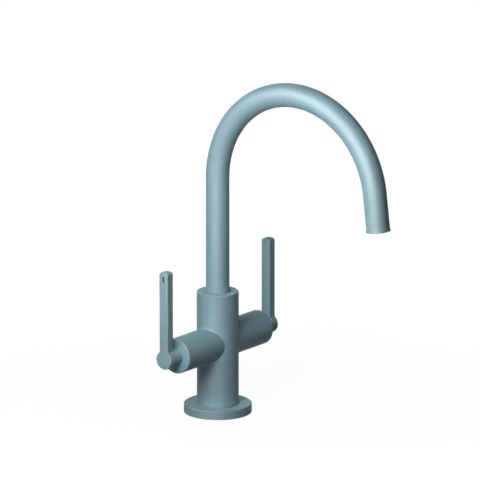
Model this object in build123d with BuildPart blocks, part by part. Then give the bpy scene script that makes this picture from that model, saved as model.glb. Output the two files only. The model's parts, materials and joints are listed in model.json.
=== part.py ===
from build123d import *
import os
from math import asin, cos, degrees, pi, radians, sin

# A two-handle basin mixer tap. Millimetres, +Z up, origin in the middle of the foot where it
# stands on the basin. The spout points to -Y, the hot lever is at -X and the cold lever at +X.

# Outer form
flange_radius = 31.85
flange_height = 8.3
flange_edge = 0.9
body_radius = 19.65
body_edge = 0.7
body_foot_edge = 0.5
handle_height = 67.5
head_height = 49.1
arm_reach = 64.6
sleeve_radius = 16.5
sleeve_edge = 0.8
sleeve_blend = 1.5

# Spout tube
tube_radius = 11.0
tube_wall = 1.0
riser_length = 109.1
bend_radius = 90.5
bend_angle = 173.0
tail_length = 32.7
swivel_limit = 75.0

# Levers
lever_gap = 9.4
lever_thickness = 8.5
lever_width = 9.9
lever_rise = 83.9
lever_corner = 2.8
lever_bevel = 0.9
lever_edge = 0.5
hub_radius = 8.85
hub_blend = 1.2
stem_radius = 8.2
mark_length = 5.8
mark_width = 1.5
mark_depth = 0.8
mark_drop = 6.8

# Clearances
slip = 0.05
seam = 0.1
screw_slip = 0.03
turning_slip = 0.1
carrier_slip = 0.2
stem_gap = 0.3
nut_corner_gap = 0.5

# Foot of the body, flange and its seal
foot_radius = 16.4
flange_ledge = 5.3
flange_groove = 0.4
seal_inner = 25.0
seal_width = 3.0
seal_depth = 2.0
inlet_spacing = 16.0
inlet_setback = 1.5
inlet_radius = 4.5
inlet_depth = 12.0
stud_forward = 10.0
stud_radius = 3.4
stud_depth = 14.0
riser_bore = 3.2

# Side arms of the casting and the sleeves over them
sleeve_wall = 2.3
sleeve_slip = 0.2
arm_wall = 3.75
chamber_step = 0.45
passage_radius = 3.0
passage_wall = 1.4
passage_web = 1.8
centre_web = 5.0
mixing_radius = 6.0
cap_thickness = 4.0
cap_rim = 1.8
cap_lip = 1.2
rib_thickness = 2.5
rib_gap = 0.5
nut_thickness = 4.0
nut_room = 3.6
neck_step = 2.25
bush_wall = 1.5
bush_end_gap = 0.1

# Ceramic headworks
hex_flange = 5.0
thread_length = 9.0
chamber_length = 16.0
cage_gap = 1.0
cage_wall = 1.3
cage_slip = 1.2
seat_seal = 3.0
disc_thickness = 3.0
disc_inner = 2.0
disc_rim = 2.1
port_angle = 35.0
tab_width = 3.0
tab_reach = 1.5
tab_wall = 1.4
leg_length = 6.0
leg_wall = 2.4
carrier_thickness = 2.5
thrust_thickness = 0.95
window_post = 2.58
window_length = 5.0
window_start = 0.5
arm_seal_depth = 1.8
arm_seal_width = 1.4
collar_step = 2.8
spindle_seal_width = 1.6
spindle_seal_depth = 1.2
spindle_seal_gap = 3.0
clip_thickness = 0.8
clip_gap = 0.15
clip_groove = 1.1
clip_width = 1.5

# Splined end of the spindle, its insert and the set screw
spline_step = 0.5
spline_teeth = 20
spline_length = 7.0
insert_wall = 1.45
insert_inset = 0.5
stem_inset = 2.0
stem_bore_end = 2.0
spindle_end_gap = 1.0
set_screw_radius = 2.0
set_screw_recess = 0.3
set_key_depth = 1.5
set_key_radius = 1.15

# Socket that the spout turns in, and the spigot under the tube
socket_depth = 32.6
socket_slip = 0.6
socket_mouth = 0.7
tube_entry = 4.6
spigot_wall = 3.0
spigot_neck = 12.0
spigot_lift = 0.1
stop_groove_height = 6.0
stop_groove_depth = 1.6
stop_screw_radius = 2.5
stop_tip_radius = 1.7
stop_tip_length = 3.0
stop_screw_recess = 0.4
stop_key_depth = 2.5
stop_key_radius = 1.45
slide_ring_height = 3.0
slide_ring_depth = 1.3
slide_ring_slit = 1.5
spout_seal_height = 2.4
spout_seal_depth = 1.3
ring_spacing = 1.7

# Aerator at the outlet
lip_step = 0.45
lip_height = 1.6
lip_edge = 0.4
housing_wall = 1.0
housing_length = 12.0
housing_step = 1.2
housing_step_wall = 1.2
aerator_recess = 0.6
aerator_wall = 1.0
aerator_grid = 3.0
aerator_seal_thickness = 1.6
cell_radius = 1.0
cell_half_pitch = 1.2
screen_thickness = 0.4
screen_hole = 0.5
screen_half_pitch = 0.75
screen_rim = 1.2

# Heights on the body's centre line
body_top = handle_height + head_height
bend_height = body_top + riser_length
tube_foot = body_top - tube_entry
socket_floor = body_top - socket_depth
socket_radius = tube_radius + socket_slip
tube_bore = tube_radius - tube_wall
spigot_foot = socket_floor + spigot_lift
spigot_bore = tube_radius - spigot_wall
lip_radius = tube_radius + lip_step
stop_height = spigot_foot + stop_groove_height
stop_groove_width = 2 * (stop_tip_radius + turning_slip)
lower_slide_height = stop_height + stop_groove_width / 2 + ring_spacing
lower_seal_height = lower_slide_height + slide_ring_height + ring_spacing
upper_seal_height = lower_seal_height + spout_seal_height + ring_spacing
upper_slide_height = upper_seal_height + spout_seal_height + ring_spacing

# Radii of the arm, from the sleeve inwards
sleeve_bore = sleeve_radius - sleeve_wall
arm_radius = sleeve_bore - sleeve_slip
thread_bore = arm_radius - arm_wall
chamber_radius = thread_bore - chamber_step
passage_offset = arm_radius - passage_wall - passage_radius
pocket_radius = passage_offset - passage_radius - passage_web
cage_radius = chamber_radius - cage_slip
cage_bore = cage_radius - cage_wall
cap_radius = sleeve_radius - cap_rim
neck_radius = thread_bore - neck_step
disc_outer = cage_bore - disc_rim
window_width = 2 * (cage_radius * cos(radians(45)) - window_post)
spindle_radius = cage_bore - collar_step
clip_radius = spindle_radius + clip_width
spline_radius = spindle_radius - spline_step
spline_groove = pi * spline_radius / (2 * spline_teeth)

# Distances from the centre line along the handle axis, from the outside inwards
cap_seat = arm_reach - cap_thickness
neck_end = cap_seat - nut_room
nut_seat = neck_end - nut_thickness
rib_seat = nut_seat - rib_thickness
hex_end = rib_seat - rib_gap
arm_end = hex_end - hex_flange
chamber_end = arm_end - thread_length
seat_face = chamber_end - chamber_length
cage_end = seat_face + cage_gap
fixed_disc_start = seat_face + seat_seal
moving_disc_start = fixed_disc_start + disc_thickness + slip
leg_start = moving_disc_start + disc_thickness
carrier_start = leg_start + leg_length
thrust_start = carrier_start + carrier_thickness + slip
shoulder = thrust_start + thrust_thickness
clip_start = neck_end + clip_gap
stem_end = neck_end + stem_inset
lever_back = arm_reach + lever_gap
lever_face = lever_back + lever_thickness
stem_bore_top = lever_back - stem_bore_end
spindle_end = stem_bore_top - spindle_end_gap
insert_start = stem_end + insert_inset
insert_end = insert_start + spline_length
set_screw_place = (arm_reach + lever_back) / 2
insert_radius = spline_radius + insert_wall
spindle_seal_place = hex_end - spindle_seal_gap

sides = {"hot": -1, "cold": 1}


def station(side, distance):
    """Plane square to the handle axis, facing outwards, with its own y upwards."""
    return Plane(
        origin=(side * distance, 0, handle_height),
        x_dir=(0, side, 0),
        z_dir=(side, 0, 0),
    )


def turning_plane(side):
    """Plane through the handle axis: x runs outwards along the axis, y upwards."""
    return Plane(origin=(0, 0, handle_height), x_dir=(side, 0, 0), z_dir=(0, -side, 0))


def handle_axis(side):
    return Axis((0, 0, handle_height), (side, 0, 0))


def half_section(start, steps):
    """Corners of a turned piece: each step is a radius and the place where it ends."""
    corners = [(start, 0)]
    place = start
    for radius, end in steps:
        corners.append((place, radius))
        corners.append((end, radius))
        place = end
    corners.append((place, 0))
    return corners


def honeycomb(half_pitch, reach):
    """Places of a hexagonal pattern whose centres lie within reach of the middle."""
    count = 2 * int(reach / half_pitch) + 1
    places = HexLocations(half_pitch, count, count, major_radius=False).local_locations
    return [place for place in places if place.position.length < reach]


def save(piece, name):
    piece.part.label = name
    export_step(piece.part, f"parts/{name}.step")


os.makedirs("parts", exist_ok=True)

# Flange: a turned ring round the body's foot, clamped by the body's shoulder
with BuildPart() as base_flange:
    with BuildSketch():
        Circle(flange_radius)
        Circle(foot_radius + seam, mode=Mode.SUBTRACT)
    extrude(amount=flange_height)
    with BuildSketch(Plane.XY.offset(flange_ledge)):
        Circle(body_radius + flange_groove)
    extrude(amount=flange_height - flange_ledge, mode=Mode.SUBTRACT)
    with BuildSketch():
        Circle(seal_inner + seal_width)
        Circle(seal_inner, mode=Mode.SUBTRACT)
    extrude(amount=seal_depth, mode=Mode.SUBTRACT)
    top_edges = base_flange.faces().sort_by(Axis.Z)[-1].edges().sort_by(SortBy.LENGTH)
    fillet(top_edges[-1], flange_edge)
save(base_flange, "base_flange")

# Flat rubber ring in the flange's underside
with BuildPart() as base_seal:
    with BuildSketch():
        Circle(seal_inner + seal_width - slip)
        Circle(seal_inner + slip, mode=Mode.SUBTRACT)
    extrude(amount=seal_depth)
save(base_seal, "base_seal")

# Cast body: column and side arms in one, with the inlets, valve seats and mixing passages
with BuildPart() as body_casting:
    with BuildSketch(Plane.XY.offset(flange_height)):
        Circle(body_radius)
    extrude(amount=body_top - flange_height)
    foot_edge = body_casting.edges().filter_by(GeomType.CIRCLE).sort_by(Axis.Z)[0]
    chamfer(foot_edge, body_foot_edge)
    top_edge = body_casting.edges().filter_by(GeomType.CIRCLE).sort_by(Axis.Z)[-1]
    chamfer(top_edge, body_edge)
    with BuildSketch(Plane.XY.offset(flange_ledge)):
        Circle(body_radius - body_foot_edge)
    extrude(amount=flange_height - flange_ledge)
    with BuildSketch():
        Circle(foot_radius)
    extrude(amount=flange_ledge)
    with BuildSketch(station(1, 0)):
        Circle(arm_radius)
    extrude(amount=arm_end, both=True)
    with BuildSketch(Plane.XY.offset(socket_floor)):
        Circle(socket_radius)
    extrude(amount=socket_depth, mode=Mode.SUBTRACT)
    socket_rim = body_casting.edges().filter_by(GeomType.CIRCLE).group_by(Axis.Z)[-1]
    chamfer(socket_rim.sort_by(SortBy.RADIUS)[0], socket_mouth)
    with BuildSketch(Plane.XY.offset(handle_height + passage_offset - passage_radius)):
        Circle(mixing_radius)
    extrude(until=Until.LAST, mode=Mode.SUBTRACT)
    with BuildSketch(Plane.YZ):
        with Locations((0, handle_height + passage_offset)):
            Circle(passage_radius)
    extrude(amount=chamber_end - passage_radius, both=True, mode=Mode.SUBTRACT)
    for side in sides.values():
        with BuildSketch(station(side, centre_web / 2)):
            Circle(pocket_radius)
        extrude(amount=seat_face - centre_web / 2, mode=Mode.SUBTRACT)
        with BuildSketch(station(side, seat_face)):
            Circle(chamber_radius)
        extrude(amount=chamber_length, mode=Mode.SUBTRACT)
        with BuildSketch(station(side, chamber_end)):
            Circle(thread_bore)
        extrude(amount=thread_length, mode=Mode.SUBTRACT)
        with BuildSketch(station(side, arm_end - arm_seal_depth)):
            Circle(thread_bore + arm_seal_width)
        extrude(amount=arm_seal_depth, mode=Mode.SUBTRACT)
        with BuildSketch():
            with Locations((side * inlet_spacing / 2, inlet_setback)):
                Circle(inlet_radius)
        extrude(amount=inlet_depth, mode=Mode.SUBTRACT)
        with BuildSketch(Plane.XY.offset(inlet_depth)):
            with Locations((side * inlet_spacing / 2, inlet_setback)):
                Circle(riser_bore)
        extrude(amount=handle_height - inlet_depth, mode=Mode.SUBTRACT)
    with BuildSketch():
        with Locations((0, -stud_forward)):
            Circle(stud_radius)
    extrude(amount=stud_depth, mode=Mode.SUBTRACT)
    with BuildSketch(Plane.XZ.offset(-body_radius)):
        with Locations((0, stop_height)):
            Circle(stop_screw_radius)
    extrude(amount=body_radius - socket_radius + body_edge, mode=Mode.SUBTRACT)
save(body_casting, "body_casting")


def make_sleeve(side, name):
    """Cover over one arm: its inner end flares on to the body's round, its rib takes the nut."""
    with BuildPart() as sleeve:
        with BuildSketch(station(side, 0)):
            Circle(sleeve_radius)
        extrude(amount=arm_reach)
        end_rim = sleeve.edges().filter_by(GeomType.CIRCLE).sort_by(Axis.X)[-1 if side > 0 else 0]
        chamfer(end_rim, sleeve_edge)
        with BuildSketch(Plane((0, 0, 0), x_dir=(side, 0, 0))):
            Circle(body_radius)
        extrude(amount=body_top)
        saddle = sleeve.edges().filter_by(lambda edge: edge.geom_type not in (GeomType.CIRCLE, GeomType.LINE))
        fillet(saddle, sleeve_blend)
        with BuildSketch(station(side, 0)):
            Circle(sleeve_bore)
        extrude(amount=rib_seat, mode=Mode.SUBTRACT)
        with BuildSketch(station(side, rib_seat)):
            Circle(neck_radius + sleeve_slip)
        extrude(amount=rib_thickness, mode=Mode.SUBTRACT)
        with BuildSketch(station(side, nut_seat)):
            Circle(sleeve_bore)
        extrude(amount=cap_seat - nut_seat, mode=Mode.SUBTRACT)
        with BuildSketch(station(side, cap_seat)):
            Circle(cap_radius)
        extrude(amount=cap_thickness, mode=Mode.SUBTRACT)
        with BuildSketch():
            Circle(body_radius + seam)
        extrude(amount=body_top, mode=Mode.SUBTRACT)
    save(sleeve, name)


def make_end_cap(side, name):
    """Screwed disc that closes the sleeve, with a lip in front of the stem's bush."""
    with BuildPart() as cap:
        with BuildSketch(station(side, cap_seat)):
            Circle(cap_radius - slip)
            Circle(stem_radius + bush_wall + slip, mode=Mode.SUBTRACT)
        extrude(amount=cap_thickness)
        with BuildSketch(station(side, arm_reach - cap_lip)):
            Circle(stem_radius + bush_wall + slip)
            Circle(stem_radius + stem_gap, mode=Mode.SUBTRACT)
        extrude(amount=cap_lip)
    save(cap, name)


def make_stem_bush(side, name):
    """Plastic ring that the lever's stem turns in."""
    with BuildPart() as bush:
        with BuildSketch(station(side, cap_seat)):
            Circle(stem_radius + bush_wall)
            Circle(stem_radius + slip, mode=Mode.SUBTRACT)
        extrude(amount=cap_thickness - cap_lip - bush_end_gap)
    save(bush, name)


def make_clamp_nut(side, name):
    """Hexagon nut on the headwork's neck, which pulls the sleeve against the body."""
    with BuildPart() as nut:
        with BuildSketch(station(side, nut_seat)):
            RegularPolygon(sleeve_bore - nut_corner_gap, 6)
            Circle(neck_radius + screw_slip, mode=Mode.SUBTRACT)
        extrude(amount=nut_thickness)
    save(nut, name)


def make_headwork(side, name):
    """Turned brass cage: windows and discs inside the arm, thread, hexagon and neck."""
    with BuildPart() as headwork:
        steps = [
            (cage_radius, chamber_end),
            (thread_bore - screw_slip, arm_end),
            (neck_radius, neck_end),
        ]
        with BuildSketch(turning_plane(side)):
            with BuildLine():
                Polyline(*half_section(cage_end, steps), close=True)
            make_face()
        revolve(axis=handle_axis(side))
        with BuildSketch(station(side, arm_end)):
            RegularPolygon(arm_radius - seam, 6)
        extrude(amount=hex_flange)
        with BuildSketch(station(side, cage_end)):
            Circle(cage_bore)
        extrude(amount=shoulder - cage_end, mode=Mode.SUBTRACT)
        with BuildSketch(station(side, shoulder)):
            Circle(spindle_radius + slip)
        extrude(amount=neck_end - shoulder, mode=Mode.SUBTRACT)
        with BuildSketch(station(side, leg_start + window_start)):
            Rectangle(window_width, 2 * chamber_radius)
            Rectangle(2 * chamber_radius, window_width)
        extrude(amount=window_length, mode=Mode.SUBTRACT)
    save(headwork, name)


def make_arm_seal(side, name):
    """Rubber ring under the headwork's hexagon."""
    with BuildPart(station(side, arm_end - arm_seal_depth / 2)) as ring:
        Torus(thread_bore + arm_seal_width / 2, arm_seal_width / 2 - slip)
    save(ring, name)


def make_seat_seal(side, name):
    """Rubber sleeve between the valve seat and the fixed disc."""
    with BuildPart() as ring:
        with BuildSketch(station(side, seat_face)):
            Circle(cage_bore - slip)
            Circle(disc_outer, mode=Mode.SUBTRACT)
        extrude(amount=seat_seal)
    save(ring, name)


def port_windows(turn):
    """Two opposite windows in a disc: a ring without its two side wedges, turned."""
    reach = 2 * disc_outer
    spread = reach * sin(radians(port_angle))
    rise = reach * cos(radians(port_angle))
    with BuildSketch() as windows:
        Circle(disc_outer)
        Circle(disc_inner, mode=Mode.SUBTRACT)
        for hand in (-1, 1):
            wedge = [(0, 0), (hand * spread, rise), (hand * reach, 0), (hand * spread, -rise)]
            Polygon(*wedge, align=None, mode=Mode.SUBTRACT)
    return windows.sketch.rotate(Axis.Z, turn)


def make_fixed_disc(side, name):
    """Ceramic disc that stands still on the seat seal, its ports above and below."""
    with BuildPart() as disc:
        with BuildSketch(station(side, fixed_disc_start)):
            Circle(cage_bore - slip)
            add(port_windows(0), mode=Mode.SUBTRACT)
        extrude(amount=disc_thickness)
    save(disc, name)


def make_moving_disc(side, name):
    """Ceramic disc that turns with the spindle, its ports a quarter turn from the others."""
    with BuildPart() as disc:
        with BuildSketch(station(side, moving_disc_start)):
            Circle(cage_bore - turning_slip)
            add(port_windows(90), mode=Mode.SUBTRACT)
            with Locations((cage_bore, 0), (-cage_bore, 0)):
                Rectangle(2 * tab_wall, tab_width, mode=Mode.SUBTRACT)
        extrude(amount=disc_thickness)
    save(disc, name)


def make_thrust_washer(side, name):
    """Plastic washer between the spindle's collar and the headwork's shoulder."""
    with BuildPart() as washer:
        with BuildSketch(station(side, thrust_start)):
            Circle(cage_bore - slip)
            Circle(spindle_radius + slip, mode=Mode.SUBTRACT)
        extrude(amount=thrust_thickness)
    save(washer, name)


def make_spindle(side, name):
    """Brass spindle: driving tabs and legs, collar, shaft, ring grooves and splined end."""
    with BuildPart() as spindle:
        steps = [
            (cage_bore - carrier_slip, carrier_start + carrier_thickness),
            (spindle_radius, clip_start + clip_thickness + slip),
            (spline_radius, spindle_end),
        ]
        with BuildSketch(turning_plane(side)):
            with BuildLine():
                Polyline(*half_section(carrier_start, steps), close=True)
            make_face()
        revolve(axis=handle_axis(side))
        with BuildSketch(station(side, leg_start)):
            Circle(cage_bore - carrier_slip)
            Circle(cage_bore - leg_wall, mode=Mode.SUBTRACT)
            Rectangle(3 * cage_bore, 2 * tab_width, mode=Mode.INTERSECT)
        extrude(amount=leg_length)
        with BuildSketch(station(side, leg_start - tab_reach)):
            with Locations((cage_bore, 0), (-cage_bore, 0)):
                Rectangle(2 * (tab_wall - slip), tab_width - 2 * slip)
            Circle(cage_bore - carrier_slip, mode=Mode.INTERSECT)
        extrude(amount=tab_reach)
        with BuildSketch(station(side, spindle_seal_place)):
            Circle(spindle_radius)
            Circle(spindle_radius - spindle_seal_depth, mode=Mode.SUBTRACT)
        extrude(amount=spindle_seal_width, mode=Mode.SUBTRACT)
        with BuildSketch(station(side, clip_start)):
            Circle(spindle_radius)
            Circle(spindle_radius - clip_groove, mode=Mode.SUBTRACT)
        extrude(amount=clip_thickness + slip, mode=Mode.SUBTRACT)
        with BuildSketch(station(side, insert_start)):
            with PolarLocations(spline_radius, spline_teeth):
                Circle(spline_groove)
        extrude(amount=spline_length, mode=Mode.SUBTRACT)
    save(spindle, name)


def make_spindle_seal(side, name):
    """Rubber ring in the spindle's groove."""
    half = spindle_seal_depth / 2
    with BuildPart(station(side, spindle_seal_place + spindle_seal_width / 2)) as ring:
        Torus(spindle_radius - half, half)
    save(ring, name)


def make_spindle_clip(side, name):
    """Open spring ring that keeps the spindle in its headwork."""
    with BuildPart() as clip:
        with BuildSketch(station(side, clip_start + slip / 2)):
            Circle(clip_radius)
            Circle(spindle_radius - clip_groove + slip, mode=Mode.SUBTRACT)
            with Locations((0, -clip_radius)):
                Rectangle(spindle_radius, 2 * clip_radius, mode=Mode.SUBTRACT)
        extrude(amount=clip_thickness)
    save(clip, name)


def make_spline_insert(side, name):
    """Plastic insert that fits the spindle's splines to the lever's plain bore."""
    with BuildPart() as insert:
        with BuildSketch(station(side, insert_start)):
            Circle(insert_radius)
            Circle(spline_radius + slip, mode=Mode.SUBTRACT)
            with PolarLocations(spline_radius + slip, spline_teeth):
                Circle(spline_groove - slip)
        extrude(amount=spline_length)
    save(insert, name)


def make_lever(side, name):
    """Keyhole-shaped lever: flat bar and round hub in one face, with the stem behind."""
    with BuildPart() as lever:
        with BuildSketch(station(side, lever_back)) as outline:
            Rectangle(lever_width, lever_rise, align=(Align.CENTER, Align.MIN))
            fillet(outline.vertices().group_by(Axis.Y)[-1], lever_corner)
            Circle(hub_radius)
            inner_corners = outline.vertices().filter_by_position(Axis.Y, 0.1, hub_radius)
            fillet(inner_corners, hub_blend)
        extrude(amount=lever_thickness)
        outer_face = lever.faces().sort_by(Axis.X)[-1 if side > 0 else 0]
        fillet(outer_face.edges(), lever_bevel)
        inner_face = lever.faces().sort_by(Axis.X)[0 if side > 0 else -1]
        chamfer(inner_face.edges(), lever_edge)
        with BuildSketch(station(side, stem_end)):
            Circle(stem_radius)
        extrude(amount=lever_back - stem_end)
        with BuildSketch(station(side, stem_end)):
            Circle(insert_radius + slip)
        extrude(amount=stem_bore_top - stem_end, mode=Mode.SUBTRACT)
        with BuildSketch(Plane.XY.offset(handle_height)):
            with Locations((side * set_screw_place, 0)):
                Circle(set_screw_radius + screw_slip)
        extrude(amount=-2 * stem_radius, mode=Mode.SUBTRACT)
        with BuildSketch(station(side, lever_face - mark_depth)):
            with Locations((0, lever_rise - mark_drop)):
                SlotOverall(mark_length, mark_width, rotation=90)
        extrude(amount=mark_depth, mode=Mode.SUBTRACT)
    save(lever, name)


def make_mark(side, name):
    """Enamel bar let into the lever's face."""
    with BuildPart() as mark:
        with BuildSketch(station(side, lever_face - mark_depth)):
            with Locations((0, lever_rise - mark_drop)):
                SlotOverall(mark_length - 2 * screw_slip, mark_width - 2 * screw_slip, rotation=90)
        extrude(amount=mark_depth - slip)
    save(mark, name)


def make_set_screw(side, name):
    """Headless screw from below, through the stem on to the end of the spindle."""
    head = stem_radius - set_screw_recess
    with BuildPart() as screw:
        with BuildSketch(Plane.XY.offset(handle_height - head)):
            with Locations((side * set_screw_place, 0)):
                Circle(set_screw_radius)
        extrude(amount=head - spline_radius - screw_slip)
        with BuildSketch(Plane.XY.offset(handle_height - head)):
            with Locations((side * set_screw_place, 0)):
                RegularPolygon(set_key_radius, 6)
        extrude(amount=set_key_depth, mode=Mode.SUBTRACT)
    save(screw, name)


# The two valves, alike but for their side
for word, side in sides.items():
    make_sleeve(side, f"{word}_sleeve")
    make_end_cap(side, f"{word}_end_cap")
    make_stem_bush(side, f"{word}_stem_bush")
    make_clamp_nut(side, f"{word}_clamp_nut")
    make_headwork(side, f"{word}_headwork")
    make_arm_seal(side, f"{word}_arm_seal")
    make_seat_seal(side, f"{word}_seat_seal")
    make_fixed_disc(side, f"{word}_fixed_disc")
    make_moving_disc(side, f"{word}_moving_disc")
    make_thrust_washer(side, f"{word}_thrust_washer")
    make_spindle(side, f"{word}_spindle")
    make_spindle_seal(side, f"{word}_spindle_seal")
    make_spindle_clip(side, f"{word}_spindle_clip")
    make_spline_insert(side, f"{word}_spline_insert")
    make_lever(side, f"{word}_lever")
    make_mark(side, f"{word}_mark")
    make_set_screw(side, f"{word}_set_screw")

# Spout tube: riser, bend and straight tail, swept as one ring
with BuildPart() as spout_tube:
    with BuildLine(Plane.YZ) as route:
        riser = Line((0, tube_foot), (0, bend_height))
        bend = JernArc(riser @ 1, riser % 1, bend_radius, bend_angle)
        tail = Line(bend @ 1, bend @ 1 + (bend % 1) * tail_length)
    with BuildSketch(Plane.XY.offset(tube_foot)):
        Circle(tube_radius)
        Circle(tube_bore, mode=Mode.SUBTRACT)
    sweep()
save(spout_tube, "spout_tube")

# The outlet's plane faces along the flow
outlet = Plane(origin=tail @ 1, x_dir=(1, 0, 0), z_dir=tail % 1)

# Spigot: brazed into the tube's lower end, it carries the rings that turn in the socket
with BuildPart() as spout_spigot:
    with BuildSketch(Plane.XY.offset(spigot_foot)):
        Circle(tube_radius)
    extrude(amount=tube_foot - spigot_foot)
    with BuildSketch(Plane.XY.offset(tube_foot)):
        Circle(tube_bore - slip)
    extrude(amount=spigot_neck)
    with BuildSketch(Plane.XY.offset(spigot_foot)):
        Circle(spigot_bore)
    extrude(amount=tube_foot - spigot_foot + spigot_neck, mode=Mode.SUBTRACT)
    for height in (lower_slide_height, upper_slide_height):
        with BuildSketch(Plane.XY.offset(height)):
            Circle(tube_radius)
            Circle(tube_radius - slide_ring_depth, mode=Mode.SUBTRACT)
        extrude(amount=slide_ring_height, mode=Mode.SUBTRACT)
    for height in (lower_seal_height, upper_seal_height):
        with BuildSketch(Plane.XY.offset(height)):
            Circle(tube_radius)
            Circle(tube_radius - spout_seal_depth, mode=Mode.SUBTRACT)
        extrude(amount=spout_seal_height, mode=Mode.SUBTRACT)
    stop_floor = tube_radius - stop_groove_depth
    stop_half_turn = swivel_limit + degrees(asin((stop_tip_radius + turning_slip) / stop_floor))
    groove_start = radians(90 - stop_half_turn)
    groove_plane = Plane(
        origin=(0, 0, stop_height),
        x_dir=(cos(groove_start), sin(groove_start), 0),
        z_dir=(sin(groove_start), -cos(groove_start), 0),
    )
    with BuildSketch(groove_plane):
        with Locations((stop_floor, 0)):
            Rectangle(2 * stop_groove_depth, stop_groove_width, align=(Align.MIN, Align.CENTER))
    revolve(axis=Axis.Z, revolution_arc=2 * stop_half_turn, mode=Mode.SUBTRACT)
save(spout_spigot, "spout_spigot")


def make_slide_ring(height, name):
    """Split plastic ring that guides the spigot in the socket."""
    with BuildPart() as ring:
        with BuildSketch(Plane.XY.offset(height + slip)):
            Circle(socket_radius - slip)
            Circle(tube_radius - slide_ring_depth + slip, mode=Mode.SUBTRACT)
            with Locations((0, -tube_radius)):
                Rectangle(slide_ring_slit, 2 * tube_radius, mode=Mode.SUBTRACT)
        extrude(amount=slide_ring_height - 2 * slip)
    save(ring, name)


def make_spout_seal(height, name):
    """Rubber ring between the spigot's groove and the socket."""
    floor = tube_radius - spout_seal_depth
    half = (socket_radius - slip - floor) / 2
    with BuildPart(Plane.XY.offset(height + spout_seal_height / 2)) as ring:
        Torus(floor + half, half)
    save(ring, name)


make_slide_ring(lower_slide_height, "lower_slide_ring")
make_slide_ring(upper_slide_height, "upper_slide_ring")
make_spout_seal(lower_seal_height, "lower_spout_seal")
make_spout_seal(upper_seal_height, "upper_spout_seal")

# Screw at the back: its tip runs in the spigot's groove, holds the spout and stops its swing
with BuildPart() as spout_screw:
    screw_head = body_radius - stop_screw_recess
    tip_end = tube_radius - stop_groove_depth + turning_slip
    with BuildSketch(Plane.XZ.offset(-screw_head)):
        with Locations((0, stop_height)):
            Circle(stop_screw_radius - screw_slip)
    extrude(amount=screw_head - tip_end - stop_tip_length)
    with BuildSketch(Plane.XZ.offset(-tip_end - stop_tip_length)):
        with Locations((0, stop_height)):
            Circle(stop_tip_radius)
    extrude(amount=stop_tip_length)
    with BuildSketch(Plane.XZ.offset(-screw_head)):
        with Locations((0, stop_height)):
            RegularPolygon(stop_key_radius, 6)
    extrude(amount=stop_key_depth, mode=Mode.SUBTRACT)
save(spout_screw, "spout_screw")

# Threaded ring in the tube's end, with a lip over the rim
with BuildPart() as aerator_housing:
    with BuildSketch(outlet.offset(-housing_length)):
        Circle(tube_bore - slip)
    extrude(amount=housing_length)
    with BuildSketch(outlet):
        Circle(lip_radius)
    extrude(amount=lip_height)
    flow = Axis(outlet.origin, outlet.z_dir)
    lip_rims = aerator_housing.faces().sort_by(flow)[-1].edges()
    fillet(lip_rims, lip_edge)
    with BuildSketch(outlet.offset(-housing_length)):
        Circle(tube_bore - housing_wall - housing_step_wall)
    extrude(amount=housing_length, mode=Mode.SUBTRACT)
    with BuildSketch(outlet.offset(housing_step - housing_length)):
        Circle(tube_bore - housing_wall)
    extrude(amount=housing_length - housing_step + lip_height, mode=Mode.SUBTRACT)
save(aerator_housing, "aerator_housing")

aerator_radius = tube_bore - housing_wall - screw_slip
aerator_top = housing_step - housing_length + aerator_seal_thickness
aerator_end = lip_height - aerator_recess

# Rubber washer above the aerator
with BuildPart() as aerator_seal:
    with BuildSketch(outlet.offset(housing_step - housing_length)):
        Circle(aerator_radius)
        Circle(aerator_radius - housing_step_wall, mode=Mode.SUBTRACT)
    extrude(amount=aerator_seal_thickness)
save(aerator_seal, "aerator_seal")

# Plastic aerator: a cup with a honeycomb floor that faces the outlet
with BuildPart() as aerator_insert:
    with BuildSketch(outlet.offset(aerator_top)):
        Circle(aerator_radius)
    extrude(amount=aerator_end - aerator_top)
    with BuildSketch(outlet.offset(aerator_top)):
        Circle(aerator_radius - aerator_wall)
    extrude(amount=aerator_end - aerator_top - aerator_grid, mode=Mode.SUBTRACT)
    with BuildSketch(outlet.offset(aerator_end - aerator_grid)):
        with Locations(*honeycomb(cell_half_pitch, aerator_radius - aerator_wall - cell_radius)):
            RegularPolygon(cell_radius, 6, major_radius=False)
    extrude(amount=aerator_grid, mode=Mode.SUBTRACT)
save(aerator_insert, "aerator_insert")

# Steel strainer in the mouth of the aerator
with BuildPart() as aerator_screen:
    with BuildSketch(outlet.offset(aerator_top)):
        Circle(aerator_radius - aerator_wall - slip)
        with Locations(*honeycomb(screen_half_pitch, aerator_radius - aerator_wall - screen_rim)):
            Circle(screen_hole, mode=Mode.SUBTRACT)
    extrude(amount=screen_thickness)
save(aerator_screen, "aerator_screen")
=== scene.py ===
import json
import math

import bpy
import numpy as np
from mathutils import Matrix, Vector

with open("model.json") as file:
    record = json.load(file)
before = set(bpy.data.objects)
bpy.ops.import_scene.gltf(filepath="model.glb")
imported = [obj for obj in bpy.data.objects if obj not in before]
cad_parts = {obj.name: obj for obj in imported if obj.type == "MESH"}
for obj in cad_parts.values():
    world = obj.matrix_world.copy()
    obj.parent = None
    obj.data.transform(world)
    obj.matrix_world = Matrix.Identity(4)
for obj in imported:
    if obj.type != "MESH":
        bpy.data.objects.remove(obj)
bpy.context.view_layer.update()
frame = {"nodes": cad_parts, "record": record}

# A two-handle basin mixer tap in satin blue-grey lacquer. Metres, +Z up, the spout points to -Y.

# Axes of the tap, each a point on it and its direction

HANDLE_AXIS = ((0.0, 0.0, 0.0675), (1.0, 0.0, 0.0))
COLUMN_AXIS = ((0.0, 0.0, 0.0), (0.0, 0.0, 1.0))
OUTLET_AXIS = ((0.0, -0.1843, 0.2043), (0.0, -0.1219, -0.9925))

# Where the lacquer lies, as distances from and along those axes

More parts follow.
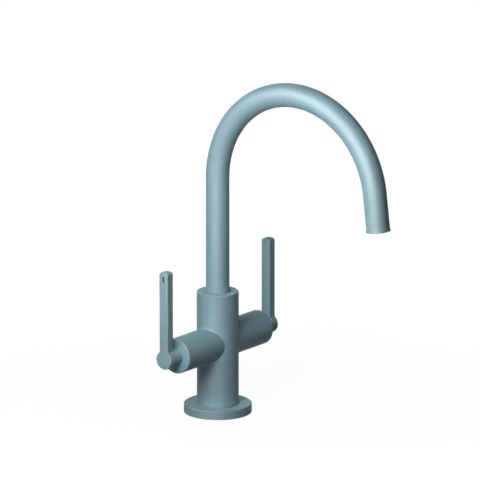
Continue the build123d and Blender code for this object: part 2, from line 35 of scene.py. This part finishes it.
COLUMN_SKIN = (0.0189, 0.0198)
COLUMN_TOP_SKIN = 0.112
FLANGE_SKIN = 0.0001
SLEEVE_SKIN = 0.0158
SLEEVE_END_SKIN = 0.0637

# Threaded sockets in the column's underside: centre, bore radius and pitch

THREADS = (
    ((-0.008, 0.0015, 0.0), 0.0046, 0.001),
    ((0.008, 0.0015, 0.0), 0.0046, 0.001),
    ((0.0, -0.010, 0.0), 0.0035, 0.00125),
)

# Noises of a surface, each with its detail

NOISES = {"Grain": 2.0, "Ripple": 1.0, "Cloud": 3.0}
RINGS_DETAIL = 3.0


# Shader building blocks

def place(tree, kind, inputs=None, **settings):
    """A new shader node. An input that is another node's socket is linked, any other is a value."""
    node = tree.nodes.new("ShaderNode" + kind)
    for name, value in settings.items():
        setattr(node, name, value)
    for name, value in (inputs or {}).items():
        if isinstance(value, bpy.types.NodeSocket):
            tree.links.new(value, node.inputs[name])
        else:
            node.inputs[name].default_value = value
    return node


def math_node(tree, operation, *values):
    return place(tree, "Math", dict(enumerate(values)), operation=operation).outputs[0]


def vector_node(tree, operation, *values):
    node = place(tree, "VectorMath", dict(enumerate(values)), operation=operation)
    return node.outputs["Value" if operation in ("DOT_PRODUCT", "LENGTH") else "Vector"]


def spread(tree, value, low, high):
    """The value, from 0 to 1, moved to the range from low to high."""
    limits = {"To Min": low, "To Max": high}
    return place(tree, "MapRange", {"Value": value, **limits}).outputs["Result"]


def blend(tree, factor, first, second):
    """The first number where the factor is 0, the second where it is 1."""
    return place(tree, "Mix", {0: factor, 2: first, 3: second}).outputs[0]


def blend_colours(tree, factor, first, second):
    """The first colour where the factor is 0, the second where it is 1."""
    return place(tree, "Mix", {0: factor, 6: first, 7: second}, data_type="RGBA").outputs[2]


def object_place(tree):
    return place(tree, "TexCoord").outputs["Object"]


def new_effect(name, inputs, outputs):
    """An empty effect group and its two end nodes. Inputs are floats or vectors, outputs floats."""
    effect = bpy.data.node_groups.new(name, "ShaderNodeTree")
    for label, kind in inputs:
        effect.interface.new_socket(name=label, in_out="INPUT", socket_type="NodeSocket" + kind)
    for label in outputs:
        effect.interface.new_socket(name=label, in_out="OUTPUT", socket_type="NodeSocketFloat")
    return effect, effect.nodes.new("NodeGroupInput"), effect.nodes.new("NodeGroupOutput")


def fine_surface():
    """Grain, ripple and cloud: three noises in space, each with its own feature size in metres."""
    inputs = [(f"{name} Size", "Float") for name in NOISES]
    effect, given, made = new_effect("fine_surface", inputs, NOISES)
    where = object_place(effect)
    for name, detail in NOISES.items():
        scale = math_node(effect, "DIVIDE", 1.0, given.outputs[f"{name} Size"])
        noise = place(effect, "TexNoise", {"Vector": where, "Scale": scale, "Detail": detail})
        effect.links.new(noise.outputs["Fac"], made.inputs[name])
    return effect


def reach_from(tree, centre, axis):
    """How far a point lies along an axis from its centre, and how far away from the axis.

    The second is the square root of the whole distance squared less the distance along, squared.
    """
    offset = vector_node(tree, "SUBTRACT", object_place(tree), centre)
    along = vector_node(tree, "DOT_PRODUCT", offset, axis)
    whole = vector_node(tree, "LENGTH", offset)
    squares = [math_node(tree, "POWER", distance, 2.0) for distance in (whole, along)]
    away = math_node(tree, "MAXIMUM", math_node(tree, "SUBTRACT", *squares), 0.0)
    return along, math_node(tree, "SQRT", away)


def turned_marks():
    """Fine lathe rings: a noise of the distance along the axis plus the distance from it."""
    inputs = [("Centre", "Vector"), ("Axis", "Vector"), ("Pitch", "Float")]
    effect, given, made = new_effect("turned_marks", inputs, ("Rings",))
    along, radius = reach_from(effect, given.outputs["Centre"], given.outputs["Axis"])
    reach = math_node(effect, "ADD", along, radius)
    turns = math_node(effect, "DIVIDE", reach, given.outputs["Pitch"])
    wave = {"W": turns, "Scale": 1.0, "Detail": RINGS_DETAIL}
    noise = place(effect, "TexNoise", wave, noise_dimensions="1D")
    effect.links.new(noise.outputs["Fac"], made.inputs["Rings"])
    return effect


def screw_thread():
    """An upright V-shaped thread, 0 outside its bore.

    Its height is a triangle wave of the distance up in pitches plus the turns round the bore.
    """
    inputs = [("Centre", "Vector"), ("Bore", "Float"), ("Pitch", "Float")]
    effect, given, made = new_effect("screw_thread", inputs, ("Height",))
    offset = vector_node(effect, "SUBTRACT", object_place(effect), given.outputs["Centre"])
    x, y, z = place(effect, "SeparateXYZ", {"Vector": offset}).outputs
    turn = math_node(effect, "DIVIDE", math_node(effect, "ARCTAN2", y, x), math.tau)
    along = math_node(effect, "DIVIDE", z, given.outputs["Pitch"])
    wave = math_node(effect, "PINGPONG", math_node(effect, "ADD", along, turn), 0.5)
    flat = place(effect, "CombineXYZ", {"X": x, "Y": y}).outputs["Vector"]
    radius = vector_node(effect, "LENGTH", flat)
    inside = math_node(effect, "LESS_THAN", radius, given.outputs["Bore"])
    effect.links.new(math_node(effect, "MULTIPLY", wave, inside), made.inputs["Height"])
    return effect


EFFECTS = {make.__name__: make() for make in (fine_surface, turned_marks, screw_thread)}


def use(tree, effect, **inputs):
    """An effect group placed in a material, its inputs named with underscores for spaces."""
    node = tree.nodes.new("ShaderNodeGroup")
    node.node_tree = EFFECTS[effect]
    for name, value in inputs.items():
        node.inputs[name.replace("_", " ").title()].default_value = value
    return node.outputs


def new_material(name):
    """A material with a Principled shader joined to its output, and its tree."""
    material = bpy.data.materials.new(name)
    material.use_nodes = True
    tree = material.node_tree
    tree.nodes.clear()
    shader = place(tree, "BsdfPrincipled")
    place(tree, "OutputMaterial", {"Surface": shader.outputs[0]})
    return material, tree, shader


def connect(tree, shader, **links):
    """Links to the shader's inputs, named with underscores for spaces."""
    for name, socket in links.items():
        tree.links.new(socket, shader.inputs[name.replace("_", " ").title()])


def bump(tree, height):
    """Relief from a height in metres."""
    return place(tree, "Bump", {"Height": height, "Distance": 1.0}).outputs["Normal"]


# Finishes: colours, ranges of roughness and shade, sizes and heights of their marks in metres

LACQUER_PALE = (0.274, 0.450, 0.508, 1)
LACQUER_DEEP = (0.253, 0.419, 0.475, 1)
LACQUER_SHADE = (0.95, 1.05)
LACQUER_ROUGHNESS = (0.52, 0.60)
LACQUER_SPECULAR = 0.16
LACQUER_MARKS = {"grain_size": 0.0003, "ripple_size": 0.0014, "cloud_size": 0.03}
LACQUER_GRAIN = 0.35
LACQUER_RELIEF = 0.000012
BRASS_BRIGHT = (0.74, 0.54, 0.25, 1)
BRASS_DULL = (0.52, 0.35, 0.15, 1)
BRASS_ROUGHNESS = (0.26, 0.44)
TURNED_MARKS = {"grain_size": 0.00025, "ripple_size": 0.001, "cloud_size": 0.008}
TURNED_GRAIN = 0.4
TURNED_RELIEF = 0.000008
TURNED_PITCH = 0.00035
BARE_BRASS_PITCH = 0.0005
THREAD_RELIEF = 0.0006
ENAMEL_MARKS = {"grain_size": 0.0002, "ripple_size": 0.0012, "cloud_size": 0.002}
ENAMEL_ROUGHNESS = (0.34, 0.46)
ENAMEL_SPECULAR = 0.12
ENAMEL_RELIEF = 0.00001
HOT_ENAMEL = ((0.010, 0.002, 0.006, 1), (0.020, 0.004, 0.010, 1))
COLD_ENAMEL = ((0.002, 0.004, 0.014, 1), (0.004, 0.008, 0.028, 1))


def lacquer_nodes(tree):
    """Satin lacquer: fine pigment grain over a soft ripple, a little paler and deeper in clouds."""
    surface = use(tree, "fine_surface", **LACQUER_MARKS)
    clouded = blend_colours(tree, surface["Cloud"], LACQUER_DEEP, LACQUER_PALE)
    shade = spread(tree, surface["Grain"], *LACQUER_SHADE)
    colour = place(tree, "VectorMath", {0: clouded, "Scale": shade}, operation="SCALE")
    roughness = spread(tree, surface["Grain"], *LACQUER_ROUGHNESS)
    grain = math_node(tree, "MULTIPLY", surface["Grain"], LACQUER_GRAIN)
    height = math_node(tree, "ADD", grain, surface["Ripple"])
    relief = math_node(tree, "MULTIPLY", height, LACQUER_RELIEF)
    return colour.outputs["Vector"], roughness, relief


def turned_nodes(tree, bright, dull, roughness, axis, pitch):
    """A turned or moulded skin: two tones in clouds, lathe rings in its roughness and relief."""
    surface = use(tree, "fine_surface", **TURNED_MARKS)
    centre, direction = axis
    rings = use(tree, "turned_marks", centre=centre, axis=direction, pitch=pitch)["Rings"]
    colour = blend_colours(tree, surface["Cloud"], dull, bright)
    grain = math_node(tree, "MULTIPLY", surface["Grain"], TURNED_GRAIN)
    relief = math_node(tree, "MULTIPLY", math_node(tree, "ADD", rings, grain), TURNED_RELIEF)
    return colour, spread(tree, rings, *roughness), relief


def satin_lacquer():
    material, tree, shader = new_material("satin_lacquer")
    colour, roughness, relief = lacquer_nodes(tree)
    shader.inputs["Specular IOR Level"].default_value = LACQUER_SPECULAR
    connect(tree, shader, base_color=colour, roughness=roughness, normal=bump(tree, relief))
    return material


def turned_finish(name, bright, dull, metallic, roughness, axis):
    material, tree, shader = new_material(name)
    colour, rough, relief = turned_nodes(tree, bright, dull, roughness, axis, TURNED_PITCH)
    shader.inputs["Metallic"].default_value = metallic
    connect(tree, shader, base_color=colour, roughness=rough, normal=bump(tree, relief))
    return material


def part_lacquered(name, skin, axis, threads=()):
    """Lacquer where skin gives 1, bare turned brass where it gives 0, with threads in the brass."""
    material, tree, shader = new_material(name)
    covered = skin(tree)
    coat_colour, coat_roughness, coat_relief = lacquer_nodes(tree)
    brass = (BRASS_BRIGHT, BRASS_DULL, BRASS_ROUGHNESS)
    bare_colour, bare_roughness, bare_relief = turned_nodes(tree, *brass, axis, BARE_BRASS_PITCH)
    for centre, bore, pitch in threads:
        ridge = use(tree, "screw_thread", centre=centre, bore=bore, pitch=pitch)["Height"]
        cut = math_node(tree, "MULTIPLY", ridge, THREAD_RELIEF)
        bare_relief = math_node(tree, "ADD", bare_relief, cut)
    shader.inputs["Specular IOR Level"].default_value = LACQUER_SPECULAR
    connect(
        tree,
        shader,
        base_color=blend_colours(tree, covered, bare_colour, coat_colour),
        metallic=math_node(tree, "SUBTRACT", 1.0, covered),
        roughness=blend(tree, covered, bare_roughness, coat_roughness),
        normal=bump(tree, blend(tree, covered, bare_relief, coat_relief)),
    )
    return material


def column_skin(tree):
    """The column's outer round and its top face."""
    height, radius = reach_from(tree, *COLUMN_AXIS)
    low, high = COLUMN_SKIN
    band = math_node(tree, "COMPARE", radius, (low + high) / 2, (high - low) / 2)
    top = math_node(tree, "GREATER_THAN", height, COLUMN_TOP_SKIN)
    return math_node(tree, "MAXIMUM", band, top)


def sleeve_skin(tree):
    """A sleeve's outer round and its outer end."""
    along, radius = reach_from(tree, *HANDLE_AXIS)
    side = math_node(tree, "GREATER_THAN", radius, SLEEVE_SKIN)
    end = math_node(tree, "GREATER_THAN", math_node(tree, "ABSOLUTE", along), SLEEVE_END_SKIN)
    return math_node(tree, "MAXIMUM", side, end)


def flange_skin(tree):
    """Everything above the flange's underside."""
    height, _ = reach_from(tree, *COLUMN_AXIS)
    return math_node(tree, "GREATER_THAN", height, FLANGE_SKIN)


def enamel(name, thick, thin):
    """Enamel in a lever's mark, a little thinner and brighter in clouds."""
    material, tree, shader = new_material(name)
    surface = use(tree, "fine_surface", **ENAMEL_MARKS)
    shader.inputs["Specular IOR Level"].default_value = ENAMEL_SPECULAR
    connect(
        tree,
        shader,
        base_color=blend_colours(tree, surface["Cloud"], thick, thin),
        roughness=spread(tree, surface["Grain"], *ENAMEL_ROUGHNESS),
        normal=bump(tree, math_node(tree, "MULTIPLY", surface["Ripple"], ENAMEL_RELIEF)),
    )
    return material


# Bare pieces by the record's material slot: bright tone, dull tone, metallic, roughness

TURNED = {
    "raw_brass": (BRASS_BRIGHT, BRASS_DULL, 1.0, BRASS_ROUGHNESS),
    "seal_rubber": ((0.030, 0.030, 0.032, 1), (0.016, 0.016, 0.018, 1), 0.0, (0.62, 0.80)),
    "valve_ceramic": ((0.86, 0.84, 0.80, 1), (0.80, 0.78, 0.73, 1), 0.0, (0.16, 0.26)),
    "white_plastic": ((0.80, 0.80, 0.77, 1), (0.74, 0.74, 0.70, 1), 0.0, (0.38, 0.52)),
    "grey_plastic": ((0.36, 0.38, 0.39, 1), (0.30, 0.32, 0.33, 1), 0.0, (0.36, 0.50)),
    "steel": ((0.46, 0.46, 0.47, 1), (0.36, 0.36, 0.37, 1), 1.0, (0.26, 0.42)),
}
AXES = {"handle": HANDLE_AXIS, "column": COLUMN_AXIS, "outlet": OUTLET_AXIS}


def turned_about(node):
    """The name of the axis that a piece is turned about."""
    if node.startswith(("hot", "cold")):
        return "handle"
    return "outlet" if node.startswith("aerator") else "column"


lacquer = satin_lacquer()
sleeve_finish = part_lacquered("sleeve_lacquer", sleeve_skin, HANDLE_AXIS)
finishes = {
    "body_casting": part_lacquered("column_lacquer", column_skin, COLUMN_AXIS, THREADS),
    "base_flange": part_lacquered("flange_lacquer", flange_skin, COLUMN_AXIS),
    "hot_sleeve": sleeve_finish,
    "cold_sleeve": sleeve_finish,
    "hot_mark": enamel("hot_enamel", *HOT_ENAMEL),
    "cold_mark": enamel("cold_enamel", *COLD_ENAMEL),
}
turned = {}
for part in frame["record"]["subparts"]:
    node, slot = part["node"], part["material_slot"]
    if node not in finishes and slot == "lacquer":
        finishes[node] = lacquer
    elif node not in finishes:
        around = turned_about(node)
        name = f"{slot}_{around}"
        if name not in turned:
            turned[name] = turned_finish(name, *TURNED[slot], AXES[around])
        finishes[node] = turned[name]
    slots = frame["nodes"][node].data.materials
    slots.clear()
    slots.append(finishes[node])


# Studio

AIM = Vector((0.0, -0.05, 0.2))
TAIL = Vector((0.0, -0.18, 0.25))
CAMERA_PLACE = (-4.3943, -3.3642, 1.6188)
CAMERA_YAW = math.radians(37.222)
CAMERA_PITCH = math.radians(-14.714)
CAMERA_LENS = 461.05
CAMERA_SENSOR = 36.0
WHITE = (1, 1, 1, 1)
AMBIENT = 0.018
FLOOR_COLOUR = (0.08, 0.08, 0.08, 1)
FLOOR_GLOW_NEAR = 0.95
FLOOR_GLOW_FAR = 1.0
FLOOR_FADE = (0.1, 0.6)
FLOOR_RADIUS = 6.0
FLOOR_RIM_POINTS = 96
FLOOR_DROP = 0.0002


def lamp(name, turn, rise, distance, width, level, aim=AIM):
    """A round soft lamp that points at the tap, or at another place on it.

    It stands turn degrees to the left of the camera's side and rise degrees up. At level 1 a
    surface that faces it renders in about its own colour, so its power grows as distance squared.
    """
    heading = CAMERA_YAW + math.pi - math.radians(turn)
    up = math.radians(rise)
    way = Vector((math.cos(up) * math.cos(heading), math.cos(up) * math.sin(heading), math.sin(up)))
    data = bpy.data.lights.new(name, "AREA")
    data.shape = "DISK"
    data.size = width
    data.energy = level * (math.pi * distance) ** 2
    made = bpy.data.objects.new(name, data)
    made.location = aim + distance * way
    made.rotation_mode = "QUATERNION"
    made.rotation_quaternion = (-way).to_track_quat("-Z", "Y")
    made.visible_camera = False
    bpy.context.scene.collection.objects.link(made)
    return made


def seen_directly(tree):
    """1 for rays that show the background: the camera's, reflections and those through glass."""
    rays = place(tree, "LightPath").outputs
    shown = math_node(tree, "MAXIMUM", rays["Is Camera Ray"], rays["Is Glossy Ray"])
    return math_node(tree, "MAXIMUM", shown, rays["Is Transmission Ray"])


def light_world():
    """A white background where it is seen, and only a faint light on the tap."""
    world = bpy.data.worlds.new("studio")
    bpy.context.scene.world = world
    world.use_nodes = True
    tree = world.node_tree
    tree.nodes.clear()
    strength = spread(tree, seen_directly(tree), AMBIENT, 1.0)
    background = place(tree, "Background", {"Color": WHITE, "Strength": strength})
    place(tree, "OutputWorld", {"Surface": background.outputs[0]})


def floor_paint():
    """Pale floor: it takes the tap's shadow, and its own glow brings it to white where it is seen.

    From below it is clear, so that the tap's underside can be looked at.
    """
    material = bpy.data.materials.new("floor_paint")
    material.use_nodes = True
    tree = material.node_tree
    tree.nodes.clear()
    matt = place(tree, "BsdfDiffuse", {"Color": FLOOR_COLOUR})
    fade = {"From Min": FLOOR_FADE[0], "From Max": FLOOR_FADE[1]}
    limits = {"To Min": FLOOR_GLOW_NEAR, "To Max": FLOOR_GLOW_FAR}
    reach = vector_node(tree, "LENGTH", object_place(tree))
    level = place(tree, "MapRange", {"Value": reach, **fade, **limits}).outputs["Result"]
    strength = math_node(tree, "MULTIPLY", seen_directly(tree), level)
    glow = place(tree, "Emission", {"Strength": strength})
    above = place(tree, "AddShader", {0: matt.outputs[0], 1: glow.outputs[0]})
    below = place(tree, "BsdfTransparent")
    under = place(tree, "NewGeometry").outputs["Backfacing"]
    sides = place(tree, "MixShader", {0: under, 1: above.outputs[0], 2: below.outputs[0]})
    place(tree, "OutputMaterial", {"Surface": sides.outputs[0]})
    return material


def lay_floor():
    """A flat round floor: one face whose rim points stand at even turns."""
    turns = np.linspace(0, math.tau, FLOOR_RIM_POINTS, endpoint=False)
    height = np.full_like(turns, -FLOOR_DROP)
    rim = np.column_stack((FLOOR_RADIUS * np.cos(turns), FLOOR_RADIUS * np.sin(turns), height))
    mesh = bpy.data.meshes.new("floor")
    mesh.from_pydata(rim.tolist(), [], [list(range(len(rim)))])
    mesh.materials.append(floor_paint())
    floor = bpy.data.objects.new("floor", mesh)
    bpy.context.scene.collection.objects.link(floor)


def set_camera():
    data = bpy.data.cameras.new("camera")
    data.lens = CAMERA_LENS
    data.sensor_width = CAMERA_SENSOR
    camera = bpy.data.objects.new("camera", data)
    camera.location = CAMERA_PLACE
    level = math.cos(CAMERA_PITCH)
    forward = Vector(
        (level * math.cos(CAMERA_YAW), level * math.sin(CAMERA_YAW), math.sin(CAMERA_PITCH))
    )
    camera.rotation_mode = "QUATERNION"
    camera.rotation_quaternion = forward.to_track_quat("-Z", "Y")
    bpy.context.scene.collection.objects.link(camera)
    bpy.context.scene.camera = camera


bpy.context.scene.view_settings.view_transform = "Standard"
lamp("key", turn=23, rise=30, distance=0.58, width=0.28, level=0.75)
lamp("side", turn=45, rise=8, distance=0.5, width=0.25, level=0.13)
lamp("back", turn=180, rise=4, distance=1.1, width=0.7, level=0.45).visible_glossy = False
for sheen in (
    lamp("sheen", turn=20, rise=12, distance=0.7, width=0.9, level=10),
    lamp("arch_sheen", turn=60, rise=34, distance=0.6, width=0.5, level=6.5),
    lamp("tail_sheen", turn=20, rise=8, distance=0.25, width=0.2, level=3.4, aim=TAIL),
):
    sheen.visible_diffuse = False
light_world()
lay_floor()
set_camera()
